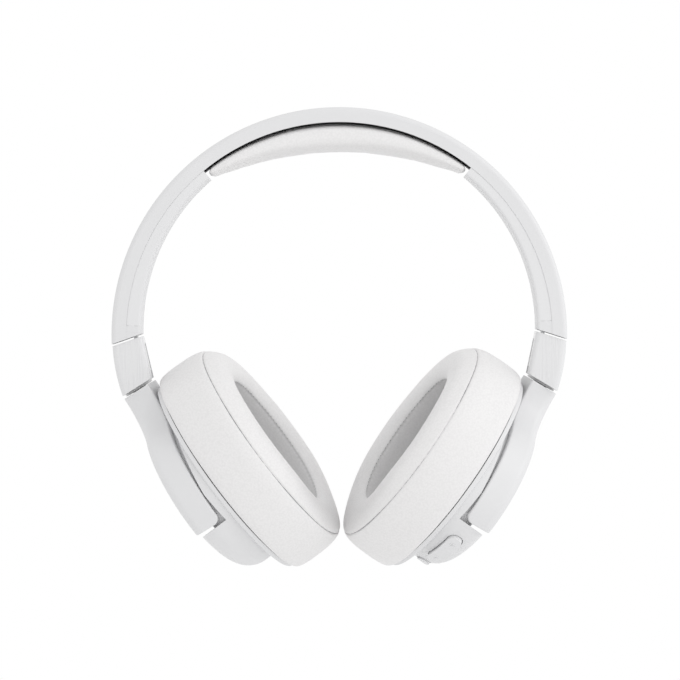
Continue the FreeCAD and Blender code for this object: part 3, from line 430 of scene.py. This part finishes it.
def grid_object(name, rows, close_ring, material):
    """A closed skin from rows of points. Each row is a closed loop; the rows close into a ring or
    the first and last rows are filled with a fan."""
    count = len(rows[0])
    points = [p for row in rows for p in row]
    faces = []
    last = len(rows) if close_ring else len(rows) - 1
    for i in range(last):
        a, b = i * count, (i + 1) % len(rows) * count
        for j in range(count):
            k = (j + 1) % count
            faces.append((a + j, a + k, b + k, b + j))
    if not close_ring:
        for start, flip in ((0, True), ((len(rows) - 1) * count, False)):
            ring = list(range(start, start + count))
            middle = len(points)
            points.append(sum((Vector(points[i]) for i in ring), Vector()) / count)
            for j in range(count):
                face = (ring[j], ring[(j + 1) % count], middle)
                faces.append(face[::-1] if flip else face)
    mesh = bpy.data.meshes.new(name)
    mesh.from_pydata([tuple(p) for p in points], [], faces)
    mesh.materials.append(material)
    piece = bpy.data.objects.new(name, mesh)
    bpy.context.scene.collection.objects.link(piece)
    outward(piece)
    return piece


def outward(piece):
    """Recalculates the normals of a closed mesh to point outwards."""
    work = bmesh.new()
    work.from_mesh(piece.data)
    bmesh.ops.recalc_face_normals(work, faces=work.faces)
    work.to_mesh(piece.data)
    work.free()


def puff(piece, pinned, cap, frames=20):
    """Inflates the piece with Cloth and holds the pinned vertices. No point moves past the cap."""
    before = [v.co.copy() for v in piece.data.vertices]
    group = piece.vertex_groups.new(name="sewn")
    group.add(pinned, 1.0, "REPLACE")
    select_only(piece)
    cloth_mod = piece.modifiers.new("cloth", "CLOTH")
    settings = cloth_mod.settings
    settings.quality = 6
    settings.mass = 0.3
    settings.tension_stiffness = settings.compression_stiffness = 18
    settings.bending_stiffness = 0.6
    settings.use_pressure = True
    settings.uniform_pressure_force = PUFF_PRESSURE
    settings.vertex_group_mass = "sewn"
    settings.effector_weights.gravity = 0
    cloth_mod.point_cache.frame_start = 1
    cloth_mod.point_cache.frame_end = frames
    scene = bpy.context.scene
    for step in range(1, frames + 1):
        scene.frame_set(step)
    bpy.ops.object.modifier_apply(modifier="cloth")
    scene.frame_set(1)
    moved = 0.0
    for vertex, old in zip(piece.data.vertices, before):
        step = vertex.co - old
        if step.length > cap:
            vertex.co = old + step * (cap / step.length)
        moved = max(moved, (vertex.co - old).length)
    piece.vertex_groups.clear()
    print(piece.name, "puffed by up to", round(moved / MM, 2), "mm")


def refine(piece, levels):
    """Adds subdivision and applies it."""
    select_only(piece)
    smooth = piece.modifiers.new("smooth", "SUBSURF")
    smooth.levels = smooth.render_levels = levels
    bpy.ops.object.modifier_apply(modifier="smooth")
    bpy.ops.object.shade_smooth()


def put(piece, matrix):
    """Moves a piece's mesh by the matrix, and turns its faces back if the matrix is a mirror."""
    piece.data.transform(matrix)
    if matrix.determinant() < 0:
        piece.data.flip_normals()
    piece.data.update()


# %% [markdown]
# ## Ear cushions
#
# Each cushion is a foam ring about 25 mm thick in three panels of leatherette: the side wall, the
# face and the inner wall. A fine closed seam joins the wall to the face just inside the outer edge.
# A second seam with open stitches runs round the ear opening, a little below its lip. The outline
# is an oval of four arcs, as the CAD solid has it, so a point is found from the way it faces.

# %% Cushion sizes and outline
CUSHION_SHIFT = 1.1
OUTER = (48.3, 38.0, 31.5)       # half length, half width, radius of the ends
OPENING = (29.5, 20.5, 17.0)
AROUND = 128                     # points round the ring before it is refined
# The section from the back outside edge over the face to the back inside edge. Each pair is the
# distance in from the outer oval, and the height above the cup, in mm.
WALL = [(2.45, 0.35), (1.2, 0.15), (0.5, 1.2), (0.12, 3.6), (0.0, 6.5), (0.0, 9.5), (0.08, 13.0),
        (0.3, 16.4), (0.85, 19.2), (1.5, 21.0), (1.85, 21.65)]
SEAM = [(2.75, 21.35), (2.3, 22.15)]
FACE = [(2.9, 22.85), (4.2, 23.65), (6.3, 24.3), (8.9, 24.7), (11.6, 24.8), (14.0, 24.5),
        (15.9, 23.8), (17.2, 22.9), (17.9, 22.2)]
STITCH_LINE = [(18.55, 21.5), (18.1, 20.8)]
LINING = [(18.2, 19.4), (18.3, 15.0), (18.2, 10.0), (18.0, 5.2), (17.75, 2.4), (17.3, 1.5)]
BACK = [(14.0, 1.35), (10.0, 1.35), (6.0, 1.35), (2.8, 1.35)]
# The face stands this much higher along most of its length; the lower end, where the two cushions
# lean on each other, is pressed flat.
CROWN, CROWN_FROM, CROWN_TO = 2.7, -47.0, -12.0
CROWN_INSETS = (2.0, 7.5)        # the rise grows over this distance in from the outer edge
CROWN_HEIGHTS = (12.0, 20.0)     # and over this part of the walls
RING_WIDTH = 17.75
FINE_STEPS = 1440                # steps round the oval where a length is measured


def on_oval(size, facing):
    """The point (y, z) of a four-arc oval whose outward direction is facing, from +Z toward +Y."""
    a, b, end_r = size
    side_r = ((a - end_r) ** 2 + b ** 2 - end_r ** 2) / (2 * (b - end_r))
    limit = math.atan2(side_r - b, a - end_r)
    y, z = math.sin(facing), math.cos(facing)
    from_z = math.atan2(abs(y), abs(z))
    if from_z <= limit:
        return y * end_r, z * end_r + math.copysign(a - end_r, z)
    return y * side_r - math.copysign(side_r - b, y), z * side_r


def even_directions(count):
    """Directions whose points are evenly spaced along the middle of the ring."""
    path = [0.0]
    last = None
    for i in range(FINE_STEPS + 1):
        facing = 2 * math.pi * i / FINE_STEPS
        outer, inner = on_oval(OUTER, facing), on_oval(OPENING, facing)
        here = Vector((outer[0] + inner[0], outer[1] + inner[1])) / 2
        if last is not None:
            path.append(path[-1] + (here - last).length)
        last = here
    found, i = [], 0
    for k in range(count):
        goal = path[-1] * k / count
        while path[i + 1] < goal:
            i += 1
        share = (goal - path[i]) / (path[i + 1] - path[i])
        found.append(2 * math.pi * (i + share) / FINE_STEPS)
    return found


def smooth_step(value, start, end):
    """0 before start, 1 after end, and smooth between."""
    t = min(max((value - start) / (end - start), 0.0), 1.0)
    return t * t * (3 - 2 * t)


def ring_point(facing, inset, height):
    """A point of the cushion in the cup's frame, in metres."""
    outer, inner = on_oval(OUTER, facing), on_oval(OPENING, facing)
    share = inset / RING_WIDTH
    y = outer[0] + (inner[0] - outer[0]) * share
    z = outer[1] + (inner[1] - outer[1]) * share
    crown = CROWN * smooth_step(z, CROWN_FROM, CROWN_TO)
    crown *= smooth_step(inset, *CROWN_INSETS) * smooth_step(height, *CROWN_HEIGHTS)
    return Vector((-height - crown, y, z + CUSHION_SHIFT)) * MM


section = WALL + SEAM + FACE + STITCH_LINE + LINING + BACK
directions = even_directions(AROUND)
print("cushion grid:", AROUND, "by", len(section), "points")

# %% [markdown]
# The pinned loops are the two seams and the back. After the simulation the skin is refined, and
# small puckers are pressed beside both seams: at each stitch inside, twice as far apart outside. A
# slow unevenness of about 0.1 mm is added, as foam and hand sewing give.

# %% Make the cushions
STITCH_PITCH = 1.9 * MM
INNER_SEAM_AT = (18.35, 21.3)    # distance in and height of the puckers, in mm
OUTER_SEAM_AT = (2.2, 21.8)
UNEVEN_SEED = {"left": (3.1, 0.4, 1.7), "right": (7.9, 2.2, 5.3)}


def seam_path(inset, height, pitch):
    """Evenly spaced points along a seam, each with the way that the seam runs there."""
    curve = [ring_point(2 * math.pi * i / FINE_STEPS, inset, height) for i in range(FINE_STEPS)]
    following = curve[1:] + curve[:1]
    lengths = [(end - start).length for start, end in zip(curve, following)]
    total = sum(lengths)
    count = int(round(total / pitch))
    places, walked, goal = [], 0.0, 0.0
    for start, end, length in zip(curve, following, lengths):
        while goal <= walked + length and len(places) < count:
            here = start.lerp(end, (goal - walked) / length)
            places.append((here, (end - start).normalized()))
            goal += total / count
        walked += length
    return places


def push(piece, amounts):
    """Moves every vertex along its normal by its own amount."""
    moves = [v.normal * amount for v, amount in zip(piece.data.vertices, amounts)]
    for vertex, move in zip(piece.data.vertices, moves):
        vertex.co += move


def unevenness(piece, size, height, seed):
    """A slow random swell of this feature size and height, the same on each run."""
    return [noise.noise(v.co / size + Vector(seed)) * height for v in piece.data.vertices]


def pucker(piece, places, reach, depth):
    """Draws the skin in at each stitch, within reach of it."""
    tree = KDTree(len(places))
    for i, (here, along) in enumerate(places):
        tree.insert(here, i)
    tree.balance()
    amounts = []
    for vertex in piece.data.vertices:
        away = min(tree.find(vertex.co)[2], reach)
        amounts.append(-depth * (0.5 + 0.5 * math.cos(math.pi * away / reach)))
    push(piece, amounts)


def make_cushion(side):
    """One cushion: its grid, its pinned seams, the puffing, the puckers and its place."""
    rows = [[ring_point(facing, inset, height) for inset, height in section]
            for facing in directions]
    cushion = grid_object(side + "_cushion_skin", rows, True, leather)
    count = len(section)
    held = set(range(len(WALL) - 1, len(WALL) + len(SEAM) + 1))
    stitch_start = len(WALL) + len(SEAM) + len(FACE)
    held |= set(range(stitch_start - 1, stitch_start + len(STITCH_LINE) + 1))
    held |= {0, 1} | set(range(count - len(BACK) - 2, count))
    pinned = [row * count + column for row in range(AROUND) for column in held]
    puff(cushion, pinned, cap=0.45 * MM)
    refine(cushion, 2)
    push(cushion, unevenness(cushion, 16 * MM, 0.12 * MM, UNEVEN_SEED[side]))
    pucker(cushion, seam_path(*INNER_SEAM_AT, STITCH_PITCH), 1.5 * MM, 0.28 * MM)
    pucker(cushion, seam_path(*OUTER_SEAM_AT, 2 * STITCH_PITCH), 2.0 * MM, 0.05 * MM)
    put(cushion, CUP[side])
    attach(cushion, side + "_cup")
    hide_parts(side + "_ear_cushion")
    return cushion


cushions = {side: make_cushion(side) for side in SIDES}
for piece in cushions.values():
    print(piece.name, len(piece.data.polygons), "faces")

# %% [markdown]
# The stitches are one short rounded bead of thread, copied along the inner seam. A thin welt fills
# the bottom of the outer seam: the folded edges of the two panels, seen as a fine grey line of
# painted shade.

# %% Stitches and welts
STITCH_AT, STITCH_SIZE = (18.0, 21.45), (1.15, 0.42)
WELT_AT, WELT_RADIUS = (2.7, 21.55), 0.2


def seam_axes(along):
    """The two directions square to a seam that lies in the cup's plane."""
    across = Vector((-1, 0, 0)).cross(along).normalized()
    return across, along.cross(across)


def bead(length, thickness):
    """One stitch: a sphere drawn out along X."""
    deselect()
    bpy.ops.mesh.primitive_uv_sphere_add(segments=8, ring_count=6, radius=0.5)
    piece = bpy.context.object
    piece.data.transform(Matrix.Rotation(math.pi / 2, 4, "Y"))
    piece.data.transform(Matrix.Diagonal((length, thickness, thickness, 1)))
    return piece


def row_of_beads(name, places, length, thickness):
    """Copies the bead to every place, lying along the seam."""
    one = bead(length, thickness)
    work = bmesh.new()
    for here, along in places:
        turn = Matrix((along, *seam_axes(along))).transposed().to_4x4()
        copy = one.data.copy()
        copy.transform(Matrix.Translation(here) @ turn)
        work.from_mesh(copy)
        bpy.data.meshes.remove(copy)
    mesh = bpy.data.meshes.new(name)
    work.to_mesh(mesh)
    work.free()
    bpy.data.objects.remove(one)
    mesh.materials.append(thread)
    mesh.shade_smooth()
    row = bpy.data.objects.new(name, mesh)
    bpy.context.scene.collection.objects.link(row)
    return row


def tube_loop(name, places, radius, sides, material):
    """A closed thin tube through the places."""
    rows = []
    for here, along in places:
        across, up = seam_axes(along)
        rows.append([here + (across * math.cos(a) + up * math.sin(a)) * radius
                     for a in (2 * math.pi * k / sides for k in range(sides))])
    tube = grid_object(name, rows, True, material)
    tube.data.shade_smooth()
    return tube


for side in SIDES:
    stitches = row_of_beads(side + "_lip_stitches", seam_path(*STITCH_AT, STITCH_PITCH),
                            *(size * MM for size in STITCH_SIZE))
    seam = tube_loop(side + "_seam_welt", seam_path(*WELT_AT, 2 * MM), WELT_RADIUS * MM, 6, welt)
    for piece, slot_name in ((stitches, "leatherette"), (seam, "leatherette")):
        put(piece, CUP[side])
        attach(piece, side + "_cup")
    print(side, "stitch mesh:", len(stitches.data.polygons), "faces")

# %% [markdown]
# ## Crown pad
#
# The pad under the arch is one foam piece in leatherette, thick at the crown and thin at both ends.
# Its top follows the arch and its underside a flatter arc. The section is nearly square at the top,
# where its cover is folded over the liner plate, and round below, where the head rests.

# %% Crown pad
PAD_TOP_R, PAD_HALF_ANGLE = 86.15, 38.0
PAD_ARC_R, PAD_ARC_Z = 131.5, -55.8          # the underside's flatter arc and its centre
PAD_HALF_LOW, PAD_WIDENING = 10.4, 0.05376   # half width at the origin's height, growth with height
PAD_EDGE, PAD_END_ROUND = 1.6, 2.2           # thinnest edge, and length over which an end rounds
PAD_STATIONS, PAD_AROUND = 96, 36


def pad_depth(angle):
    """Distance from the pad's top arc down to its underside, along the radius, in mm."""
    drop = -PAD_ARC_Z
    along = drop * math.cos(angle)
    inner = -along + math.sqrt(along ** 2 - drop ** 2 + PAD_ARC_R ** 2)
    return PAD_TOP_R - inner


def pad_half_width(height):
    return PAD_HALF_LOW + PAD_WIDENING * height


def pad_row(angle, swell):
    """One closed loop of the pad's section at this angle; swell shrinks it toward the ends."""
    depth = max(pad_depth(angle), PAD_EDGE)
    half = pad_half_width(PAD_TOP_R * math.cos(angle)) - 0.5 * (1 - swell)
    row = []
    for k in range(PAD_AROUND):
        t = 2 * math.pi * k / PAD_AROUND
        c, s = math.cos(t), math.sin(t)
        power = 2 / 5.0 if s > 0 else 2 / 2.5   # nearly square above, rounder below
        y = half * math.copysign(abs(c) ** (2 / 4.0), c)
        d = depth / 2 * (1 - math.copysign(abs(s) ** power, s) * swell)
        r = PAD_TOP_R - d
        row.append(Vector((r * math.sin(angle), y, r * math.cos(angle))) * MM)
    return row


def make_crown_pad():
    """The pad from its rows of loops, puffed while its folded top and its ends are held."""
    rows = []
    for i in range(PAD_STATIONS + 1):
        share = 2 * i / PAD_STATIONS - 1
        to_end = (1 - abs(share)) * PAD_HALF_ANGLE * math.pi / 180 * PAD_TOP_R
        left_over = max(0.0, 1 - to_end / PAD_END_ROUND)
        swell = math.sqrt(max(0.0, 1 - left_over ** 2)) * 0.75 + 0.25
        rows.append(pad_row(math.radians(PAD_HALF_ANGLE * share), swell))
    pad = grid_object("crown_pad_skin", rows, False, leather)
    pinned = []
    for i in range(PAD_STATIONS + 1):
        for k in range(PAD_AROUND):
            on_top = 0.12 < k / PAD_AROUND < 0.38
            if on_top or i < 3 or i > PAD_STATIONS - 3:
                pinned.append(i * PAD_AROUND + k)
    puff(pad, pinned, cap=0.5 * MM)
    refine(pad, 1)
    push(pad, unevenness(pad, 18 * MM, 0.15 * MM, (5.0, 1.0, 2.0)))
    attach(pad, "headband")
    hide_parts("crown_pad", "crown_pad_base")
    return pad


crown = make_crown_pad()
print("crown pad:", len(crown.data.polygons), "faces")

# %% [markdown]
# ## Marks on the controls
#
# The volume rocker carries a raised plus and minus, so that a thumb can tell its ends apart, and
# the play button a raised dot. Each is a bevelled bar or disc, half sunk and 0.2 mm proud, placed
# on the rim by its angle.

# %% Raised marks
RIM_X, RIM_R = 10.0, 36.2
ROCKER_ANGLE, ROCKER_RAISE, ROCKER_END = 41.0, 1.5, 9.5
PLAY_ANGLE, PLAY_RAISE = 9.0, 0.6
BAR_LENGTH, BAR_WIDTH, MARK_HEIGHT = 2.4, 0.45, 0.4


def on_rim(angle, radius):
    """From a mark's own frame, with +Z out of the rim, to the row frame on the right cup."""
    spin = Matrix.Rotation(math.radians(180 - angle), 4, "X")
    return CUP["right"] @ spin @ Matrix.Translation(Vector((RIM_X, 0, radius)) * MM)


def soften(piece, width):
    """Bevels a mark's edges and applies the bevel."""
    bevel = piece.modifiers.new("soft_edges", "BEVEL")
    bevel.width = width
    bevel.segments = 2
    select_only(piece)
    bpy.ops.object.modifier_apply(modifier="soft_edges")
    piece.data.shade_smooth()


def raised_bars(name, sizes, matrix, body):
    """Bars of these (x, y) sizes in mm, crossed at one place."""
    bars = []
    for x, y in sizes:
        deselect()
        bpy.ops.mesh.primitive_cube_add(size=1)
        bar = bpy.context.object
        bar.data.transform(Matrix.Diagonal((x * MM, y * MM, MARK_HEIGHT * MM, 1)))
        bars.append(bar)
    deselect()
    for bar in bars:
        bar.select_set(True)
    bpy.context.view_layer.objects.active = bars[0]
    if len(bars) > 1:
        bpy.ops.object.join()
    mark = bars[0]
    mark.name = mark.data.name = name
    soften(mark, 0.08 * MM)
    mark.data.materials.append(trim_abs)
    put(mark, matrix)
    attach(mark, body)
    return mark


ROCKER_TOP = RIM_R + ROCKER_RAISE
raised_bars("volume_plus", [(BAR_LENGTH, BAR_WIDTH), (BAR_WIDTH, BAR_LENGTH)],
            on_rim(ROCKER_ANGLE + ROCKER_END, ROCKER_TOP), "volume_rocker")
raised_bars("volume_minus", [(BAR_WIDTH, BAR_LENGTH)],
            on_rim(ROCKER_ANGLE - ROCKER_END, ROCKER_TOP), "volume_rocker")
deselect()
bpy.ops.mesh.primitive_cylinder_add(vertices=20, radius=0.7 * MM, depth=MARK_HEIGHT * MM)
play_dot = bpy.context.object
play_dot.name = play_dot.data.name = "play_dot"
soften(play_dot, 0.1 * MM)
play_dot.data.materials.append(trim_abs)
put(play_dot, on_rim(PLAY_ANGLE, RIM_R + PLAY_RAISE))
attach(play_dot, "play_button")
for end in (-ROCKER_END, ROCKER_END):
    middle = on_rim(ROCKER_ANGLE + end, ROCKER_TOP).translation
    print("rocker end, mm:", [round(v / MM, 1) for v in middle])

# %% [markdown]
# ## Floor, light and camera
#
# A plain white studio: an even white surround, a large soft light from the upper right, a second
# from the right side, a weak one from low in front, and a pale floor well below the object, which
# hangs as if worn.

# %% Studio
FLOOR_Z = -0.30
deselect()
bpy.ops.mesh.primitive_plane_add(size=3.4, location=(0, 0, FLOOR_Z))
floor = bpy.context.object
floor.name = "studio_floor"
floor_paint, floor_tree, floor_shader = new_material("pale_floor_paint", "f6f6f6", 0.8)
mottle = add(floor_tree, "TexNoise", {}, Vector=place_of(floor_tree), Scale=3.0).outputs["Fac"]
floor_tree.links.new(tint(floor_tree, mottle, "f5f5f5", "f8f8f8"),
                     floor_shader.inputs["Base Color"])
floor.data.materials.append(floor_paint)

world = bpy.data.worlds.new("white_surround")
world.use_nodes = True
world.node_tree.nodes["Background"].inputs["Color"].default_value = (1, 1, 1, 1)
world.node_tree.nodes["Background"].inputs["Strength"].default_value = 1.0
bpy.context.scene.world = world
bpy.context.scene.view_settings.view_transform = "Standard"


def soft_light(name, place, target, size, power):
    """A square area light that looks at a point."""
    lamp = bpy.data.lights.new(name, "AREA")
    lamp.size = size
    lamp.energy = power
    holder = bpy.data.objects.new(name, lamp)
    holder.location = place
    holder.rotation_euler = (Vector(target) - Vector(place)).to_track_quat("-Z", "Y").to_euler()
    bpy.context.scene.collection.objects.link(holder)
    return holder


soft_light("key_light", (1.3, -1.3, 1.3), (0, 0, -0.02), 0.9, 4.5)
soft_light("side_light", (1.7, -0.5, 0.45), (0, 0, -0.03), 0.8, 3.6)
soft_light("low_light", (0.5, -1.7, -0.2), (0, 0, -0.05), 0.6, 1.0)
print("studio ready")

# %% Camera
VIEW_WIDTH = 0.2788              # metres seen across the frame at the object
CAMERA_AWAY = 2.0
CAMERA_X, CAMERA_Z, CAMERA_ROLL = 0.00025, -0.00185, -0.7
camera_data = bpy.data.cameras.new("camera")
camera_data.sensor_width = 36.0
camera_data.lens = 36.0 * CAMERA_AWAY / VIEW_WIDTH
camera_data.clip_start = 0.05
camera = bpy.data.objects.new("camera", camera_data)
roll = Matrix.Rotation(math.radians(CAMERA_ROLL), 4, "Z")
camera.matrix_world = (Matrix.Translation((CAMERA_X, -CAMERA_AWAY, CAMERA_Z))
                       @ Matrix.Rotation(math.pi / 2, 4, "X") @ roll)
bpy.context.scene.collection.objects.link(camera)
bpy.context.scene.camera = camera
print("lens:", round(camera_data.lens, 1), "mm")
